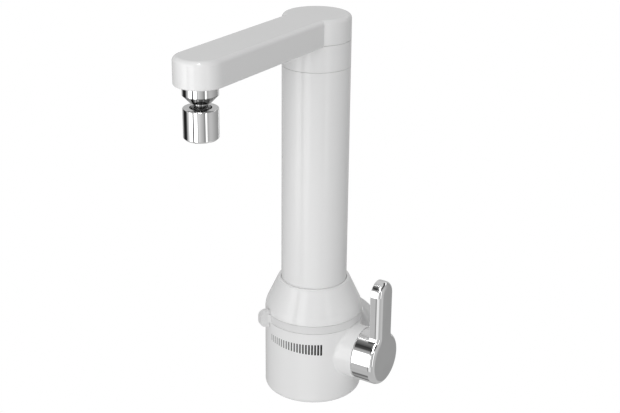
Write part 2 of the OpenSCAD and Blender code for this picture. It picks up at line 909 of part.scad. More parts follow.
// Cross section of the arm, drawn in by d on its sides and top, with an open underside if d is not zero
module arm_section(d) {
    low = d > 0 ? arm_z - cut : arm_z;
    half = arm_w / 2 - d;
    difference() {
        translate([-half, low]) square([2 * half, top_z - d - low]);
        corner(half, top_z - d, spout_edge_r, 0);
        corner(-half, top_z - d, spout_edge_r, 90);
        if (d == 0) corner(half, low, spout_low_edge_r, 270);
        if (d == 0) corner(-half, low, spout_low_edge_r, 180);
    }
}

module arm_solid(d) {
    rotate([90, 0, 0]) linear_extrude(arm_reach) arm_section(d);
    at_nozzle() rotate_extrude() intersection() {
        arm_section(d);
        translate([0, arm_z - cut]) square([arm_w, top_z]);
    }
}

module hub_solid() {
    rotate_extrude() difference() {
        translate([0, hub_z]) square([column_r, hub_h]);
        corner(column_r, top_z, spout_edge_r, 0);
    }
}

module at_spout_bosses() {
    for (s = [-1, 1], share = [spout_boss_share, spout_boss_far_share])
        translate([s * spout_boss_x, -arm_reach * share, 0]) children();
}

module spout_shell() {
    inner_top = top_z - spout_wall;
    color("whitesmoke") placed() difference() {
        union() {
            hub_solid();
            arm_solid(0);
        }
        difference() {
            union() {
                drum(column_r - spout_wall, hub_z - cut, inner_top);
                arm_solid(spout_wall);
            }
            drum(socket_r, socket_top + gap, top_z);
            at_spout_bosses() drum(spout_boss_r, arm_z + floor_lift + floor_plate_t, top_z);
        }
        drum(column_r + gap, arm_z - cut, hub_z);
        at_spout_bosses() drum(screw_r + running, arm_z, inner_top - cut);
    }
}

module spout_floor() {
    low = arm_z + floor_lift;
    half = arm_w / 2 - spout_wall - slip;
    color("whitesmoke") placed() difference() {
        union() {
            translate([-half, -arm_reach, low]) cube([2 * half, arm_reach, floor_plate_t]);
            at_nozzle() drum(half, low, low + floor_plate_t);
        }
        drum(column_r + 2 * gap, low - cut, low + floor_plate_t + cut);
        at_nozzle() drum(spigot_r + gap, low - cut, low + floor_plate_t + cut);
        at_spout_bosses() {
            drum(screw_hole_r, low - cut, low + floor_plate_t + cut);
            drum(screw_head_r + slip, low - cut, low + floor_plate_t / 2);
        }
    }
}

module spout_waterway() {
    boss_z = arm_z + floor_lift + floor_plate_t;
    color("gainsboro") placed() difference() {
        union() {
            drum(socket_r, socket_z, socket_top);
            translate([0, 0, water_z]) rotate([90, 0, 0]) cylinder(r = water_r, h = arm_reach);
            at_nozzle() drum(end_boss_r, boss_z, socket_top);
        }
        drum(swivel_r + running, socket_z - cut, post_top_z);
        drum(swivel_r - ring_w, post_top_z - cut, socket_top - spout_wall);
        translate([0, 0, water_z]) rotate([90, 0, 0]) cylinder(r = water_bore_r, h = arm_reach);
        at_nozzle() drum(spigot_r + slip, boss_z - cut, arm_z + spigot_up);
        at_nozzle() drum(spigot_bore_r, boss_z, water_z);
        tube(socket_r + cut, socket_r - clip_groove, clip_z - film, clip_z + clip_t + film);
    }
}

module spout_screws() {
    head_z_up = arm_z + floor_lift + floor_plate_t / 2;
    color("silver") placed() at_spout_bosses() {
        drum(screw_head_r, head_z_up - floor_plate_t / 2, head_z_up);
        drum(screw_r, head_z_up, head_z_up + screw_thread_len);
    }
}

module retaining_ring() {
    inner = socket_r - clip_groove + film;
    color("silver") placed() difference() {
        tube(inner + clip_w, inner, clip_z, clip_z + clip_t);
        translate([0, -clip_gap / 2, clip_z - cut]) cube([socket_r + clip_w, clip_gap, clip_t + 2 * cut]);
    }
}

module aerator_cup() {
    low = arm_z - cup_straight - cup_cone;
    cavity_z = low + cup_floor_t;
    color("silver") placed() at_nozzle() difference() {
        union() {
            rotate_extrude() polygon([[0, low], [cup_tip_r, low], [cup_r, low + cup_cone], [cup_r, arm_z],
                [0, arm_z]]);
            drum(spigot_r, arm_z - cut, arm_z + spigot_up);
        }
        drum(cup_cavity_r, cavity_z, arm_z - spade_t);
        drum(spigot_bore_r, cavity_z, arm_z + spigot_up + cut);
        drum(neck_stem_r + running, low - cut, cavity_z + cut);
    }
}

module aerator_washer() {
    low = arm_z - cup_straight - cup_cone + cup_floor_t + neck_flange_t + gap + film;
    color("dimgray") placed() at_nozzle()
        tube(cup_cavity_r - slip, spigot_bore_r - cut, low, arm_z - spade_t);
}

module aerator_ball() {
    flange_low = arm_z - cup_straight - cup_cone + cup_floor_t + gap;
    color("silver") placed() at_nozzle() difference() {
        union() {
            translate([0, 0, aer_z]) sphere(r = ball_r);
            drum(neck_stem_r, aer_z, flange_low + neck_flange_t);
            drum(cup_cavity_r - gap, flange_low, flange_low + neck_flange_t);
        }
        drum(water_neck_r, aer_z - ball_r - cut, flange_low + neck_flange_t + cut);
    }
}

module aerator_barrel() {
    top = aer_z + barrel_above;
    low = top - barrel_h;
    color("silver") placed() at_nozzle() difference() {
        rotate_extrude() difference() {
            polygon([[0, low], [barrel_r - barrel_chamfer, low], [barrel_r, low + barrel_chamfer],
                [barrel_r, top], [0, top]]);
            corner(barrel_r, top, barrel_top_edge_r, 0);
        }
        translate([0, 0, aer_z]) sphere(r = ball_r + ball_gap);
        drum(barrel_bore_r, low + barrel_lip_t, aer_z - barrel_above);
        drum(barrel_lip_r, low - cut, aer_z);
    }
}

module ball_seal() {
    reach = ball_r + ball_seal_w + slip;
    color("dimgray") placed() at_nozzle()
        o_ring(ball_seal_r, ball_seal_w, aer_z - sqrt(reach * reach - ball_seal_r * ball_seal_r));
}

module aerator_insert() {
    low = aer_z + barrel_above - barrel_h + barrel_lip_t;
    color("white") placed() at_nozzle() difference() {
        drum(barrel_bore_r - slip, low, low + insert_h);
        drum(insert_hole_r, low - cut, low + insert_h + cut);
        for (ring = [1 : insert_rings], i = [1 : 6 * ring]) rotate(i * 60 / ring)
            translate([ring * insert_pitch, 0, 0]) drum(insert_hole_r, low - cut, low + insert_h + cut);
    }
}

base_housing();
tie_screws();
wall_rosette();
inlet_nipple();
inlet_gasket();
inlet_strainer();
valve_body();
cartridge_seat();
fixed_disc();
valve_cartridge();
cartridge_nut();
inner_frame();
heating_chamber();
chamber_gasket();
chamber_lid();
lid_screws();
element_core();
heating_coil();
element_terminals();
thermal_cutout();
control_board();
board_parts();
sensor_strip();
terminal_block();
cable_gland();
shroud();
column_screws();
column_tube();
filter_base();
filter_shell();
filter_media();
filter_cap();
filter_seals();
head_ring();
swivel_post();
swivel_seals();
selector_ring();
selector_magnet();
handle();
handle_screw();
valve_stem();
stem_seals();
moving_disc();
spout_shell();
spout_floor();
spout_waterway();
spout_screws();
retaining_ring();
aerator_cup();
aerator_washer();
aerator_ball();
aerator_barrel();
ball_seal();
aerator_insert();
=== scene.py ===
"""A wall-mounted electric water heater tap: white moulded housings, a chrome lever and a chrome aerator."""

from math import atan2, cos, pi, radians, sin, sqrt, tau

import bmesh
import bpy
from mathutils import Matrix, Vector


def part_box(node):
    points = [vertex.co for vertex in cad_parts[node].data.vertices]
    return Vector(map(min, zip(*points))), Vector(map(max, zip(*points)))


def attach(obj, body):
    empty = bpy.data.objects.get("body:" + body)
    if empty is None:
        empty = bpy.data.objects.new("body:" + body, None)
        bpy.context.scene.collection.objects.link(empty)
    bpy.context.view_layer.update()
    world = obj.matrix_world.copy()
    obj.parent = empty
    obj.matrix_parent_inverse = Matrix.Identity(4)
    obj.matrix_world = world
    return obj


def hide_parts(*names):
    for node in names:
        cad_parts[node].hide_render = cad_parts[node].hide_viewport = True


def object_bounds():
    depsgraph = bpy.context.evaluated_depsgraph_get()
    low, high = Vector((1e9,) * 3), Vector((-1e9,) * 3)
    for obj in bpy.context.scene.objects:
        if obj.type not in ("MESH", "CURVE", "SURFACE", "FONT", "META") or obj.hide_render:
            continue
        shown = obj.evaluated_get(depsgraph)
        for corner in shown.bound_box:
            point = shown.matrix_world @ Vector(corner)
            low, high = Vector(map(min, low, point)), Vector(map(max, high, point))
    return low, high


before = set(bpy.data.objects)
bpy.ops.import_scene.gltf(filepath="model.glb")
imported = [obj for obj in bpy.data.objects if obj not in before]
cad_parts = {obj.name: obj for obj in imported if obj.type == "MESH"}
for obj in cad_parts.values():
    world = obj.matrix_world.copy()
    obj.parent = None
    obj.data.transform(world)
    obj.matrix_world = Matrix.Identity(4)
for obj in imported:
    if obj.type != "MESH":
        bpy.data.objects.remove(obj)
cad_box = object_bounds()
mm = 0.001


# CAMERA
# A product camera with a slight telephoto lens, above and to the right of the tap. Its place
# comes from the edges of the column, the housing and the spout as they stand in the photograph.
# The lens and the sensor are in millimetres, and the three turns in radians.
camera_place = (467.4 * mm, -812.9 * mm, 478.8 * mm)
camera_turn = radians(32.13)
camera_down = 0.3816
camera_roll = 0.0099
camera_data = bpy.data.cameras.new("camera")
camera_data.lens = 73.53
camera_data.sensor_width = 36
camera_data.clip_end = 20
camera = bpy.data.objects.new("camera", camera_data)
camera.matrix_world = (
    Matrix.Translation(camera_place)
    @ Matrix.Rotation(camera_turn, 4, "Z")
    @ Matrix.Rotation(pi / 2 - camera_down, 4, "X")
    @ Matrix.Rotation(camera_roll, 4, "Z")
)
bpy.context.scene.collection.objects.link(camera)
bpy.context.scene.camera = camera
bpy.context.scene.view_settings.view_transform = "Standard"


# STUDIO
# A white sweep with soft light from the front and above, and a small lamp before the spout's tip.
# Polished metal sees what stands round such a set: white panels in front, grey walls at the
# sides, a dark slot overhead and two softboxes.
class Nodes:
    """Adds nodes to one tree and links them in the same call."""

    def __init__(self, tree):
        self.tree = tree

    def add(self, kind, wires=(), **settings):
        node = self.tree.nodes.new("ShaderNode" + kind)
        for name, value in settings.items():
            setattr(node, name, value)
        for socket, value in dict(wires).items():
            self.wire(value, node.inputs[socket])
        return node

    def wire(self, value, socket):
        if isinstance(value, bpy.types.NodeSocket):
            self.tree.links.new(value, socket)
        else:
            socket.default_value = value

    def math(self, operation, *values):
        return self.add("Math", enumerate(values), operation=operation).outputs[0]

    def between(self, value, low, high, bottom=0.0, top=1.0):
        wires = {"Value": value, "From Min": low, "From Max": high, "To Min": bottom, "To Max": top}
        return self.add("MapRange", wires, interpolation_type="SMOOTHSTEP").outputs[0]

    def ramp(self, value, stops):
        ramp = self.add("ValToRGB", {"Fac": value})
        elements = ramp.color_ramp.elements
        while len(elements) < len(stops):
            elements.new(1.0)
        for element, (place, tone) in zip(elements, stops):
            element.position = place
            element.color = (tone, tone, tone, 1.0)
        return ramp.outputs["Color"]

    def mix(self, share, first, second):
        return self.add("Mix", {0: share, 2: first, 3: second}).outputs[0]


def heading(azimuth, lift):
    """The direction at an azimuth from the front, towards +X, and at a lift above the horizon."""
    turn, climb = radians(azimuth), radians(lift)
    return Vector((sin(turn) * cos(climb), -cos(turn) * cos(climb), sin(climb)))


def around(azimuth):
    """An azimuth in degrees as a share of the full turn that starts at the back."""
    return (azimuth + 180) / 360


def upward(degrees):
    """An angle above or below the horizon as a share of the way to straight up or down."""
    return degrees / 90


world = bpy.data.worlds.new("studio")
world.use_nodes = True
world.node_tree.nodes.clear()
sky = Nodes(world.node_tree)
way = sky.add("TexCoord").outputs["Generated"]
parts = sky.add("SeparateXYZ", {0: way})
turned = sky.math("ARCTAN2", parts.outputs[0], sky.math("MULTIPLY", parts.outputs[1], -1.0))
share = sky.math("MULTIPLY_ADD", turned, 1 / tau, 0.5)
rise = sky.math("MULTIPLY", sky.math("ARCSINE", parts.outputs[2]), 180 / pi)
ripple = sky.add("TexNoise", {"Vector": way, "Scale": 5.0, "Detail": 1.0}).outputs[0]
ripple_swing = 10.0
wavy_rise = sky.math("MULTIPLY_ADD", sky.math("SUBTRACT", ripple, 0.5), ripple_swing, rise)

panel = 2.2
walls = sky.ramp(share, [
    (around(-180), 0.50), (around(-130), 0.46), (around(-104), 0.30), (around(-96), 0.02),
    (around(-68), 0.012), (around(-63), 0.15), (around(-54), 0.50), (around(-42), 0.80),
    (around(-34), panel), (around(-18), panel), (around(-17.5), 0.08), (around(-8.5), 0.08),
    (around(-8), panel), (around(12.5), panel), (around(14), 0.38), (around(17), 0.42),
    (around(21), 0.72), (around(37), 0.54), (around(46), 0.46), (around(53), 0.38),
    (around(58), 0.26), (around(65), 0.27), (around(67.5), 1.8), (around(73), 1.8),
    (around(75), 0.55), (around(84), 0.42), (around(92), 0.51), (around(107), 0.50),
    (around(124), 0.42), (around(143), 0.33), (around(168), 0.28), (around(180), 0.50),
])
low_walls = sky.ramp(share, [
    (around(-180), 0.42), (around(-120), 0.40), (around(-84), 0.42), (around(-50), 0.52),
    (around(-31), 0.52), (around(-27), 0.46), (around(-24), 0.27), (around(-5), 0.27),
    (around(-1), 0.80), (around(43), 0.80), (around(48), 0.46), (around(80), 0.46),
    (around(90), 0.52), (around(130), 0.52), (around(145), 0.33), (around(170), 0.28),
    (around(180), 0.42),
])
left_ground = sky.ramp(sky.math("DIVIDE", rise, -90.0), [
    (0.0, 0.0), (upward(40), 0.45), (upward(57), 0.50), (upward(60.5), 0.14), (upward(63), 0.14),
    (upward(66), 0.48), (1.0, 0.50),
])
ceiling = sky.ramp(sky.math("DIVIDE", wavy_rise, 90.0), [
    (upward(24), 0.60), (upward(29), 0.44), (upward(37), 0.34), (upward(42), 0.06),
    (upward(50), 0.03), (upward(55), 0.13), (upward(60), 0.22), (upward(64), 0.58), (1.0, 0.62),
])
right_ground, left_ceiling = 0.48, 0.55
ground_turn = (radians(-58), radians(-48))
ceiling_turn = (radians(-112), radians(-84))
ground_rise = (-46, -38)
wall_rise = (-24, -21)
ceiling_rise = (24.5, 29)
ground = sky.mix(sky.between(turned, *ground_turn), left_ground, right_ground)
low_sides = sky.mix(sky.between(rise, *ground_rise), ground, low_walls)
sides = sky.mix(sky.between(rise, *wall_rise), low_sides, walls)
open_top = sky.mix(sky.between(turned, *ceiling_turn), left_ceiling, ceiling)
seen = sky.mix(sky.between(rise, *ceiling_rise), sides, open_top)


def softbox(left, right, bottom, top, strength):
    """A bright box of light between two azimuths and two rises, with a soft edge."""
    edge = 2.0
    from_left = sky.between(turned, radians(left), radians(left + edge))
    from_right = sky.between(turned, radians(right), radians(right - edge))
    from_below = sky.between(rise, bottom, bottom + edge)
    from_above = sky.between(rise, top, top - edge)
    across = sky.math("MULTIPLY", from_left, from_right)
    upright = sky.math("MULTIPLY", from_below, from_above)
    return sky.math("MULTIPLY", sky.math("MULTIPLY", across, upright), strength)


for left, right, bottom, top, strength in ((18, 42, 34, 80, 9.0), (135, 178, 27, 37, 1.0)):
    seen = sky.math("ADD", seen, softbox(left, right, bottom, top, strength))


def lobe(direction, power, strength):
    """Light that comes from round a direction, the more so the higher the power."""
    facing = sky.add("VectorMath", {0: way, 1: direction}, operation="DOT_PRODUCT").outputs["Value"]
    bundled = sky.math("POWER", sky.math("MAXIMUM", facing, 0.0), power)
    return sky.math("MULTIPLY", bundled, strength)


soft = 0.10
for azimuth, lift, power, strength in (
    (0, 90, 2, 0.60), (0, 10, 4, 0.50), (0, -30, 4, 1.85), (30, 10, 4, 1.12),
    (-125, 15, 4, 0.80), (180, 15, 4, 0.70),
):
    soft = sky.math("ADD", soft, lobe(heading(azimuth, lift), power, strength))
path = sky.add("LightPath")
lit = sky.mix(path.outputs["Is Glossy Ray"], soft, seen)
shown = sky.mix(path.outputs["Is Camera Ray"], lit, 1.0)
background = sky.add("Background", {"Color": shown})
sky.add("OutputWorld", {"Surface": background.outputs[0]})
bpy.context.scene.world = world

spout_low, spout_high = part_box("spout_shell")
spout_tip = Vector((0, spout_low[1], (spout_low[2] + spout_high[2]) / 2))
lamp_way = heading(azimuth=5, lift=5)
lamp_gap = 120 * mm
lamp_data = bpy.data.lights.new("tip_light", "AREA")
lamp_data.size = 60 * mm
lamp_data.energy = 0.020
lamp = bpy.data.objects.new("tip_light", lamp_data)
lamp.matrix_world = (
    Matrix.Translation(spout_tip + lamp_gap * lamp_way)
    @ lamp_way.to_track_quat("Z", "Y").to_matrix().to_4x4()
)
lamp.visible_glossy = False
lamp.visible_camera = False
bpy.context.scene.collection.objects.link(lamp)

floor_half = 9.0
floor_drop = 1.2
floor_tone = (0.75, 0.75, 0.75, 1.0)
floor_mesh = bmesh.new()
for x, y in ((-1, -1), (1, -1), (1, 1), (-1, 1)):
    floor_mesh.verts.new((x * floor_half, y * floor_half, cad_box[0][2] - floor_drop))
floor_mesh.faces.new(floor_mesh.verts)
floor_data = bpy.data.meshes.new("floor")
floor_mesh.to_mesh(floor_data)
floor_mesh.free()
floor = bpy.data.objects.new("floor", floor_data)
floor.visible_glossy = False
floor_material = bpy.data.materials.new("white_sweep")
floor_material.use_nodes = True
floor_material.node_tree.nodes.clear()
paper = Nodes(floor_material.node_tree)
paper_glow = paper.add("Emission", {"Color": (1.0, 1.0, 1.0, 1.0), "Strength": 1.0}).outputs[0]
paper_matt = paper.add("BsdfDiffuse", {"Color": floor_tone}).outputs[0]
seen_direct = paper.add("LightPath").outputs["Is Camera Ray"]
paper_mix = paper.add("MixShader", {0: seen_direct, 1: paper_matt, 2: paper_glow}).outputs[0]
paper.add("OutputMaterial", {"Surface": paper_mix})
floor_data.materials.append(floor_material)
bpy.context.scene.collection.objects.link(floor)


# BASE HOUSING
# The round lower housing, injection moulded in white ABS with a gloss polish. The skin has the
# faint unevenness of a moulded part and takes a little dust where it has been handled least.
def effect(name, inputs, outputs):
    """An empty node group with float inputs and the named outputs, and a way to add its nodes."""
    tree = bpy.data.node_groups.new(name, "ShaderNodeTree")
    for label, value in inputs.items():
        socket = tree.interface.new_socket(label, in_out="INPUT", socket_type="NodeSocketFloat")
        socket.default_value = value
    for label in outputs:
        tree.interface.new_socket(label, in_out="OUTPUT", socket_type="NodeSocketFloat")
    entry = tree.nodes.new("NodeGroupInput")
    leave = tree.nodes.new("NodeGroupOutput")
    return tree, Nodes(tree), entry.outputs, leave.inputs


cloud_span = (0.1, 0.9)
speck_span = (0.70, 0.78)
speck_depth = 0.05
rub_depth = 0.015
moulded_skin, skin, given, result = effect(
    "moulded_skin",
    {"Tone Low": 0.8, "Tone High": 0.86, "Gloss": 0.3, "Grain": 1.0},
    ("Tone", "Roughness", "Height"),
)
place = skin.add("TexCoord").outputs["Object"]
cloud = skin.add("TexNoise", {"Vector": place, "Scale": 14.0, "Detail": 1.0, "Roughness": 0.3}).outputs[0]
peel = skin.add("TexNoise", {"Vector": place, "Scale": 420.0, "Detail": 2.0}).outputs[0]
dust = skin.add("TexNoise", {"Vector": place, "Scale": 1600.0, "Detail": 1.0}).outputs[0]
speck = skin.between(dust, *speck_span, 0.0, speck_depth)
tone = skin.between(cloud, *cloud_span, given["Tone Low"], given["Tone High"])
skin.wire(skin.math("SUBTRACT", tone, speck), result["Tone"])
rub = skin.between(cloud, *cloud_span, -rub_depth, rub_depth)
skin.wire(skin.math("ADD", given["Gloss"], rub), result["Roughness"])
skin.wire(skin.math("MULTIPLY", peel, given["Grain"]), result["Height"])


def finish_of(name, shader):
    """A material with its Principled shader set, and a way to add its nodes."""
    material = bpy.data.materials.new(name)
    material.use_nodes = True
    material.node_tree.nodes.clear()
    nodes = Nodes(material.node_tree)
    surface = nodes.add("BsdfPrincipled", shader)
    nodes.add("OutputMaterial", {"Surface": surface.outputs[0]})
    return material, nodes, surface


def place_group(nodes, group, values):
    """One placing of a node group, with its own values."""
    node = nodes.add("Group")
    node.node_tree = group
    for label, value in values.items():
        nodes.wire(value, node.inputs[label])
    return node.outputs


def lay_on(nodes, surface, out, tint, bump, depth):
    """Wires a group's tone, roughness and height to the shader, with a tint and a depth of relief."""
    shades = [nodes.math("MULTIPLY", out["Tone"], hue) if hue != 1.0 else out["Tone"] for hue in tint]
    colour = nodes.add("CombineColor", enumerate(shades))
    nodes.wire(colour.outputs[0], surface.inputs["Base Color"])
    nodes.wire(out["Roughness"], surface.inputs["Roughness"])
    relief = nodes.add("Bump", {"Height": out["Height"], "Strength": bump, "Distance": depth})
    nodes.wire(relief.outputs[0], surface.inputs["Normal"])


plain = (1.0, 1.0, 1.0)
cloudy_share = 0.992
peel_depth = 0.2 * mm


def moulded(name, tone, gloss, tint=plain, grain=1.0, bump=0.04):
    """Moulded plastic or rubber: a tone, its gloss and the depth of its skin."""
    material, nodes, surface = finish_of(name, {"IOR": 1.5})
    values = {"Tone Low": tone * cloudy_share, "Tone High": tone, "Gloss": gloss, "Grain": grain}
    out = place_group(nodes, moulded_skin, values)
    lay_on(nodes, surface, out, tint, bump, peel_depth)
    return material


def dress(material, *nodes):
    """Puts a material on CAD nodes that keep their own shape."""
    for name in nodes:
        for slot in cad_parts[name].material_slots:
            slot.material = material


white_gloss = moulded("white_gloss", tone=0.86, gloss=0.16)
dress(white_gloss, "base_housing")

base_low, base_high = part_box("base_housing")
knob_low, lever_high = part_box("handle")
base_r = -base_low[0]
axis_y = base_low[1] + base_r
base_floor, seam_z = base_low[2], base_high[2]
knob_r = (lever_high[1] - knob_low[1]) / 2
lever_z = knob_low[2] + knob_r


# BOSS FILLET
# The soft inner corner where the round boss of the lever grows out of the housing. It is part of
# the same moulding, so it takes the same skin, and it stops at the selector seam.
def piece_from(name, mesh, material, body, smooth=True):
    """Makes a visible piece from a bmesh, with its material and body."""
    bmesh.ops.recalc_face_normals(mesh, faces=mesh.faces)
    data = bpy.data.meshes.new(name)
    mesh.to_mesh(data)
    mesh.free()
    for face in data.polygons:
        face.use_smooth = smooth
    piece = bpy.data.objects.new(name, data)
    data.materials.append(material)
    bpy.context.scene.collection.objects.link(piece)
    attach(piece, body)
    return piece


def band(mesh, first, second):
    """A band of faces between two closed rings of the same count."""
    for i in range(len(first)):
        j = (i + 1) % len(first)
        mesh.faces.new((first[i], first[j], second[j], second[i]))


def closed_tube(mesh, rings):
    """Joins each closed ring to the next one, and the last to the first."""
    for i in range(len(rings)):
        band(mesh, rings[i], rings[(i + 1) % len(rings)])


boss_r = knob_r + 0.05 * mm
fillet_r = 2.2 * mm
fillet_steps = 10
fillet_turns = 144
fillet_sink = 0.05 * mm
corner = bmesh.new()
rings = []
for i in range(fillet_turns):
    turn = tau * i / fillet_turns
    y = (boss_r + fillet_r) * cos(turn)
    centre = Vector((sqrt((base_r + fillet_r) ** 2 - y * y), y, (boss_r + fillet_r) * sin(turn)))
    to_base = Vector((-centre.x, -centre.y, 0)).normalized()
    to_boss = Vector((0, -cos(turn), -sin(turn)))
    ring = []
    for k in range(fillet_steps + 1):
        ring.append(centre + fillet_r * to_base.slerp(to_boss, k / fillet_steps))
    inner = centre + fillet_r * to_base + fillet_r * to_boss
    ring.append(ring[-1] + fillet_sink * to_boss)
    ring.append(inner)
    ring.append(ring[0] + fillet_sink * to_base)
    rings.append([corner.verts.new(p + Vector((0, axis_y, lever_z))) for p in ring])
closed_tube(corner, rings)
bmesh.ops.bisect_plane(
    corner, geom=corner.verts[:] + corner.edges[:] + corner.faces[:],
    plane_co=(0, 0, seam_z), plane_no=(0, 0, 1), clear_outer=True,
)
bmesh.ops.holes_fill(corner, edges=[e for e in corner.edges if e.is_boundary])
piece_from("boss_fillet", corner, white_gloss, "body")


# PRINTED BARS
# A row of upright bars, pad printed round the front of the housing. They grow longer, wider and
# darker to the right, and stand for the heat that the selector's tab sets.
bar_count = 20
bar_first = radians(-26.1)
bar_step = radians(3.55)
bar_last = bar_first + bar_step * (bar_count - 1)
bar_top = base_floor + 51.2 * mm
bar_short, bar_long = 5.4 * mm, 9.0 * mm
bar_thin, bar_wide = 0.65 * mm, 1.45 * mm
print_proud = 0.03 * mm
print_sink = 0.06 * mm
ink, ink_nodes, ink_surface = finish_of("printing_ink", {"IOR": 1.45, "Specular IOR Level": 0.15})
ink_place = ink_nodes.add("SeparateXYZ", {0: ink_nodes.add("TexCoord").outputs["Object"]})
ink_front = ink_nodes.math("SUBTRACT", axis_y, ink_place.outputs[1])
ink_turn = ink_nodes.math("ARCTAN2", ink_place.outputs[0], ink_front)
ink_tone = ink_nodes.ramp(ink_nodes.between(ink_turn, bar_first, bar_last), [
    (0.0, 0.30), (0.3, 0.15), (0.65, 0.05), (1.0, 0.02),
])
ink_coat = place_group(ink_nodes, moulded_skin, {"Tone Low": 0.94, "Tone High": 1.0, "Gloss": 0.42})
ink_colour = ink_nodes.add(
    "Mix", {0: 1.0, 6: ink_tone, 7: ink_coat["Tone"]}, data_type="RGBA", blend_type="MULTIPLY",
)
ink_nodes.wire(ink_colour.outputs[2], ink_surface.inputs["Base Color"])
ink_nodes.wire(ink_coat["Roughness"], ink_surface.inputs["Roughness"])
bars = bmesh.new()
for i in range(bar_count):
    grown = i / (bar_count - 1)
    middle = bar_first + i * bar_step
    half = (bar_thin + (bar_wide - bar_thin) * grown) / 2 / base_r
    low = bar_top - bar_short - (bar_long - bar_short) * grown
    ends = []
    for r in (base_r - print_sink, base_r + print_proud):
        ring = []
        for aside, z in ((-half, low), (half, low), (half, bar_top), (-half, bar_top)):
            turn = middle + aside
            ring.append(bars.verts.new((r * sin(turn), axis_y - r * cos(turn), z)))
        bars.faces.new(ring)
        ends.append(ring)
    band(bars, *ends)
piece_from("printed_bars", bars, ink, "body", smooth=False)


# SELECTOR RING
# The band that turns round the housing to set the heat, with its thumb tab. It is moulded in the
# same white with a finer, slightly satin skin, and it runs on the inner frame.
white_satin = moulded("white_satin", tone=0.77, gloss=0.30, grain=1.4)
dress(white_satin, "selector_ring")


# SHROUD, COLUMN AND HEAD RING
# The cone that joins the housing to the column, the tall tube that hides the filter, and the
# ring below the spout. All are glossy white mouldings that meet in fine seams.
dress(white_gloss, "shroud", "column_tube", "head_ring")


# SPOUT
# A flat hollow spout moulded in white, with a floor plate that four screws hold from below. The
# water tube inside is a separate moulding that turns on the swivel post.
dress(white_gloss, "spout_shell", "spout_floor")
ivory = (1.0, 0.985, 0.95)
natural_plastic = moulded("natural_plastic", tone=0.70, gloss=0.40, tint=ivory, grain=1.6)
dress(natural_plastic, "spout_waterway", "filter_base", "filter_cap", "inner_frame")


# WALL ROSETTE
# The cover that closes the gap between the inlet and the wall, a thin moulding that slides over
# the neck of the housing. Its white is a painted shade, darker than the housing's, for the shadow it lies
# in.
# Painted shade: a darker copy of the housing's white, standing for the shadow behind the housing.
rosette_painted_shade = moulded("rosette_painted_shade", tone=0.70, gloss=0.30)
dress(rosette_painted_shade, "wall_rosette")


# AERATOR
# Chrome plated brass with the hairlines that wiping leaves: a fixed cup under the spout, a ball
# joint, and a barrel that tilts and turns on it. A rubber lip closes the barrel round the ball,
# and a plastic insert inside shapes the water.
smear_span = (0.3, 0.7)
worn_span = (0.4, 0.8)
worn_depth = 0.03
polished_plate, plate, given, result = effect(
    "polished_plate",
    {"Tone Low": 0.9, "Tone High": 0.94, "Gloss": 0.03, "Hairlines": 1.0},
    ("Tone", "Roughness", "Height"),
)
place = plate.add("TexCoord").outputs["Object"]
smear = plate.add("TexNoise", {"Vector": place, "Scale": 70.0, "Detail": 3.0}).outputs[0]
stretch = plate.add("Mapping", {"Vector": place, "Scale": (900.0, 900.0, 160.0)}).outputs[0]
lines = plate.add("TexNoise", {"Vector": stretch, "Scale": 3.0, "Detail": 3.0, "Roughness": 0.7}).outputs[0]
plate.wire(plate.between(smear, *smear_span, given["Tone Low"], given["Tone High"]), result["Tone"])
worn = plate.between(smear, *worn_span, 0.0, worn_depth)
plate.wire(plate.math("ADD", given["Gloss"], worn), result["Roughness"])
plate.wire(plate.math("MULTIPLY", lines, given["Hairlines"]), result["Height"])
smeared_share = 0.96
hairline_depth = 0.05 * mm


def plated(name, tone, gloss, tint=plain, hairlines=1.0, bump=0.01):
    """Metal with a drawn, plated or machined surface."""
    material, nodes, surface = finish_of(name, {"Metallic": 1.0, "IOR": 1.5})
    values = {"Tone Low": tone * smeared_share, "Tone High": tone, "Gloss": gloss, "Hairlines": hairlines}
    out = place_group(nodes, polished_plate, values)
    lay_on(nodes, surface, out, tint, bump, hairline_depth)
    return material


chrome = plated("chrome", tone=0.98, gloss=0.025)
dress(chrome, "aerator_barrel")

cup_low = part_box("aerator_cup")[0]
barrel_low, barrel_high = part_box("aerator_barrel")
nozzle_x, nozzle_y = (barrel_low[0] + barrel_high[0]) / 2, (barrel_low[1] + barrel_high[1]) / 2
barrel_top = barrel_high[2]
# Painted shade: the cup's lower cone and the ball's foot darken towards the joint, standing for the shadow
# and dark reflections in the crevice round the ball.
cone_top = cup_low[2] + 5.2 * mm
cone_edge, cone_painted_dark = 0.3 * mm, 0.42
foot_edge, foot_painted_dark = 1.4 * mm, 0.25
painted_shade_chrome, neck, neck_surface = finish_of("painted_shade_chrome", {"Metallic": 1.0, "IOR": 1.5})
neck_plate = place_group(neck, polished_plate, {"Gloss": 0.03})
neck_z = neck.add("SeparateXYZ", {0: neck.add("TexCoord").outputs["Object"]}).outputs[2]
cone_painted_shade = neck.between(neck_z, cone_top - cone_edge, cone_top, cone_painted_dark, 1.0)
foot_painted_shade = neck.between(neck_z, barrel_top, barrel_top + foot_edge, foot_painted_dark, 1.0)
neck_painted_tone = neck.math("MULTIPLY", neck_plate["Tone"], neck.math("MULTIPLY", cone_painted_shade, foot_painted_shade))
neck_colour = neck.add("CombineColor", {i: neck_painted_tone for i in range(3)})
neck.wire(neck_colour.outputs[0], neck_surface.inputs["Base Color"])
neck.wire(neck_plate["Roughness"], neck_surface.inputs["Roughness"])
dress(painted_shade_chrome, "aerator_cup", "aerator_ball")

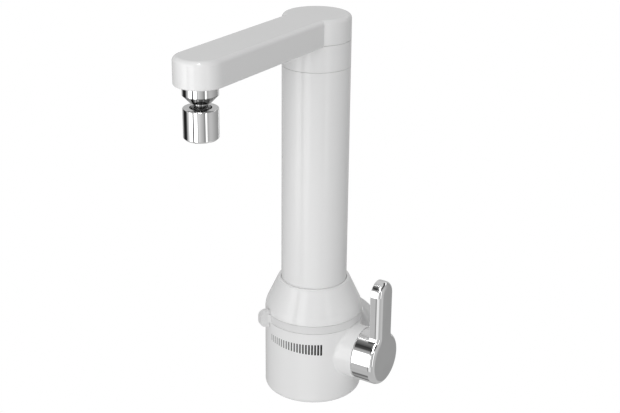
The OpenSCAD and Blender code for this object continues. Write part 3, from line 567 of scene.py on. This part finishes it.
soft_rubber = moulded("soft_rubber", tone=0.035, gloss=0.62, grain=2.0, bump=0.12)
dress(soft_rubber, "aerator_washer", "ball_seal")
lip_in, lip_skirt, lip_out = 6.86 * mm, 7.10 * mm, 7.32 * mm
lip_foot, lip_under, lip_top = -0.40 * mm, -0.01 * mm, 0.12 * mm
inner_round = 0.04 * mm
outer_round, outer_drop = 0.06 * mm, 0.05 * mm
lip_turns = 96
lip_profile = [
    (lip_in, lip_foot), (lip_in, lip_top - inner_round), (lip_in + inner_round, lip_top),
    (lip_out - outer_round, lip_top), (lip_out, lip_top - outer_drop), (lip_out, lip_under),
    (lip_skirt, lip_under), (lip_skirt, lip_foot),
]
lip = bmesh.new()
rings = []
for i in range(lip_turns):
    turn = tau * i / lip_turns
    rings.append([
        lip.verts.new((nozzle_x + r * cos(turn), nozzle_y + r * sin(turn), barrel_top + z))
        for r, z in lip_profile
    ])
closed_tube(lip, rings)
piece_from("ball_lip", lip, soft_rubber, "nozzle")

flow_plastic = moulded("flow_plastic", tone=0.62, gloss=0.35, tint=(1.0, 1.0, 0.97))
grid_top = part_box("aerator_insert")[1][2]
grid_play = 0.4 * mm
weld = 0.001 * mm
grid = bmesh.new()
grid.from_mesh(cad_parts["aerator_insert"].data)
bmesh.ops.remove_doubles(grid, verts=grid.verts, dist=weld)
for vert in grid.verts:
    if vert.co.z > grid_top - grid_play:
        vert.co.z -= grid_play
flow_grid = piece_from("flow_grid", grid, flow_plastic, "nozzle", smooth=False)
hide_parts("aerator_insert")


# LEVER
# A zinc casting with a chrome plate: a thick round knob, hollow behind, and a flat lever that grow
# into one keyhole face. A grub screw in the knob's underside holds it on the valve's stem.
tip_r = 10.2 * mm
lever_t = 9.2 * mm
web_r = 5.0 * mm
edge_r = 4.3 * mm
back_edge = 0.5 * mm
knob_edge = 0.6 * mm
knob_wall = 2.6 * mm
knob_depth = 12.0 * mm
hub_r, hub_in, stem_r = 8.0 * mm, 2.4 * mm, 4.06 * mm
grub_r, grub_in = 2.06 * mm, 7.0 * mm
hold = 0.2 * mm
knob_x, face_x = knob_low[0], lever_high[0]
under_x = face_x - lever_t
tip_up = lever_high[2] - tip_r - lever_z
web_up = sqrt((knob_r + web_r) ** 2 - (tip_r + web_r) ** 2)
web_turn = atan2(web_up, tip_r + web_r)
disc_steps, web_steps, side_steps, end_steps = 150, 14, 10, 64
back_steps, edge_steps, knob_steps, hidden_steps = 4, 18, 6, 44
drill_sides = 40
sharp = radians(35)


def swing(y, z, r, start, stop, steps, side=1.0):
    """Outline points on an arc, each with its outward normal; side is -1 on a hollow corner."""
    turns = [start + (stop - start) * i / steps for i in range(steps + 1)]
    return [(y + r * cos(t), z + r * sin(t), side * cos(t), side * sin(t)) for t in turns]


disc_edge = swing(0, 0, knob_r, pi - web_turn, tau + web_turn, disc_steps)
right_web = swing(tip_r + web_r, web_up, web_r, pi + web_turn, pi, web_steps, -1.0)[1:]
left_web = swing(-tip_r - web_r, web_up, web_r, 0.0, -web_turn, web_steps, -1.0)[:-1]
rises = [web_up + (tip_up - web_up) * i / side_steps for i in range(1, side_steps)]
right_side = [(tip_r, z, 1.0, 0.0) for z in rises]
left_side = [(-tip_r, z, -1.0, 0.0) for z in reversed(rises)]
round_end = swing(0, tip_up, tip_r, 0.0, pi, end_steps)
outline = disc_edge + right_web + right_side + round_end + left_side + left_web

casting = bmesh.new()


def outline_ring(x, inset, back=0.0):
    """A ring of the keyhole outline at x, drawn in by inset and, where the lever is free, by back."""
    ring = []
    for i, (y, z, ny, nz) in enumerate(outline):
        from_disc = min(i - len(disc_edge) + 1, len(outline) - i)
        d = inset + back * min(max(from_disc / len(right_web), 0.0), 1.0)
        ring.append(casting.verts.new((x, axis_y + y - ny * d, lever_z + z - nz * d)))
    return ring


rings = []
for k in range(back_steps + 1):
    turn = pi / 2 * k / back_steps
    rings.append(outline_ring(under_x + back_edge * (1 - cos(turn)), 0.0, back_edge * (1 - sin(turn))))
rings.append(outline_ring(under_x + back_edge + hold, 0.0))
rings.append(outline_ring(face_x - edge_r - hold, 0.0))
for k in range(edge_steps + 1):
    turn = pi / 2 * k / edge_steps
    rings.append(outline_ring(face_x - edge_r * (1 - sin(turn)), edge_r * (1 - cos(turn))))
rings.append(outline_ring(face_x, edge_r + hold))
for first, second in zip(rings, rings[1:]):
    band(casting, first, second)
casting.faces.new(rings[-1])

hidden = [casting.verts.new((under_x, axis_y + y, lever_z + z))
          for y, z, ny, nz in swing(0, 0, knob_r, web_turn, pi - web_turn, hidden_steps)[1:-1]]
knob_ring = rings[0][:len(disc_edge)] + hidden
casting.faces.new(rings[0][len(disc_edge) - 1:] + [rings[0][0]] + hidden[::-1])
knob_outline = [(vert.co.y - axis_y, vert.co.z - lever_z) for vert in knob_ring]
knob_profile = [(knob_r, under_x - hold), (knob_r, knob_x + knob_edge + hold)]
for k in range(knob_steps + 1):
    turn = pi / 2 * k / knob_steps
    knob_profile.append((knob_r - knob_edge * (1 - cos(turn)), knob_x + knob_edge * (1 - sin(turn))))
knob_profile += [
    (knob_r - knob_wall, knob_x), (knob_r - knob_wall, knob_x + knob_depth), (hub_r, knob_x + knob_depth),
    (hub_r, knob_x + hub_in), (stem_r, knob_x + hub_in), (stem_r, knob_x + knob_depth),
]
for r, x in knob_profile:
    scale = r / knob_r
    ring = [casting.verts.new((x, axis_y + y * scale, lever_z + z * scale)) for y, z in knob_outline]
    band(casting, knob_ring, ring)
    knob_ring = ring
casting.faces.new(knob_ring)
lever = piece_from("lever", casting, chrome, "lever")

drill = bmesh.new()
bmesh.ops.create_cone(
    drill, cap_ends=True, segments=drill_sides, radius1=grub_r, radius2=grub_r, depth=knob_r,
    matrix=Matrix.Translation((knob_x + grub_in, axis_y, lever_z - (stem_r + knob_r) / 2)),
)
drill_data = bpy.data.meshes.new("drill")
drill.to_mesh(drill_data)
drill.free()
drill_bit = bpy.data.objects.new("drill", drill_data)
bpy.context.scene.collection.objects.link(drill_bit)
bore = lever.modifiers.new("grub_bore", "BOOLEAN")
bore.object = drill_bit
bore.operation = "DIFFERENCE"
bore.solver = "EXACT"
bored = bpy.data.meshes.new_from_object(lever.evaluated_get(bpy.context.evaluated_depsgraph_get()))
lever.modifiers.clear()
lever.data = bored
bpy.data.objects.remove(drill_bit)
lever.data.set_sharp_from_angle(angle=sharp)
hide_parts("handle")
dark_steel = plated("dark_steel", tone=0.22, gloss=0.28, hairlines=2.0, bump=0.05)
dress(dark_steel, "handle_screw")


# VALVE
# A quarter-turn cartridge with two ceramic discs, held in the brass body by a ring nut. The stem
# comes out through the boss and turns with the lever.
brass = (1.0, 0.82, 0.48)
machined_brass = plated("machined_brass", tone=0.80, gloss=0.22, tint=brass, hairlines=2.5, bump=0.06)
dress(machined_brass, "valve_body", "valve_cartridge", "valve_stem", "inlet_nipple", "swivel_post")
ceramic = moulded("ceramic", tone=0.78, gloss=0.16, tint=ivory, grain=0.4)
dress(ceramic, "fixed_disc", "moving_disc", "element_core", "terminal_block")
dress(soft_rubber, "cartridge_seat", "stem_seals", "inlet_gasket")


# HEATER
# A steel chamber with a wound wire on a ceramic core, closed by a lid with a gasket and watched
# by a thermal cut-out.
drawn_steel = plated("drawn_steel", tone=0.62, gloss=0.20, hairlines=2.0, bump=0.04)
dress(drawn_steel, "heating_chamber", "chamber_lid", "lid_screws", "heating_coil", "inlet_strainer")
dress(drawn_steel, "cartridge_nut", "tie_screws", "column_screws", "spout_screws", "retaining_ring")
dress(drawn_steel, "selector_magnet")
dress(machined_brass, "element_terminals")
dress(soft_rubber, "chamber_gasket")
black_plastic = moulded("black_plastic", tone=0.03, gloss=0.45, grain=1.5)
dress(black_plastic, "thermal_cutout", "board_parts", "cable_gland")


# ELECTRONICS
# A small control board in grooves of the frame, and a strip of sensors behind the selector's
# magnet. The board is green laminate with its parts soldered on.
green = (0.16, 1.0, 0.42)
laminate = moulded("laminate", tone=0.30, gloss=0.38, tint=green, grain=2.2, bump=0.08)
dress(laminate, "control_board", "sensor_strip")


# FILTER
# A sealed cartridge with a block of carbon inside, between two end pieces with O-rings. It fills
# the column from the shroud to the swivel.
filter_plastic = moulded("filter_plastic", tone=0.62, gloss=0.32, tint=(0.90, 0.96, 1.0))
dress(filter_plastic, "filter_shell")
carbon = moulded("carbon", tone=0.025, gloss=0.85, grain=6.0, bump=0.5)
dress(carbon, "filter_media")
dress(soft_rubber, "filter_seals", "swivel_seals")
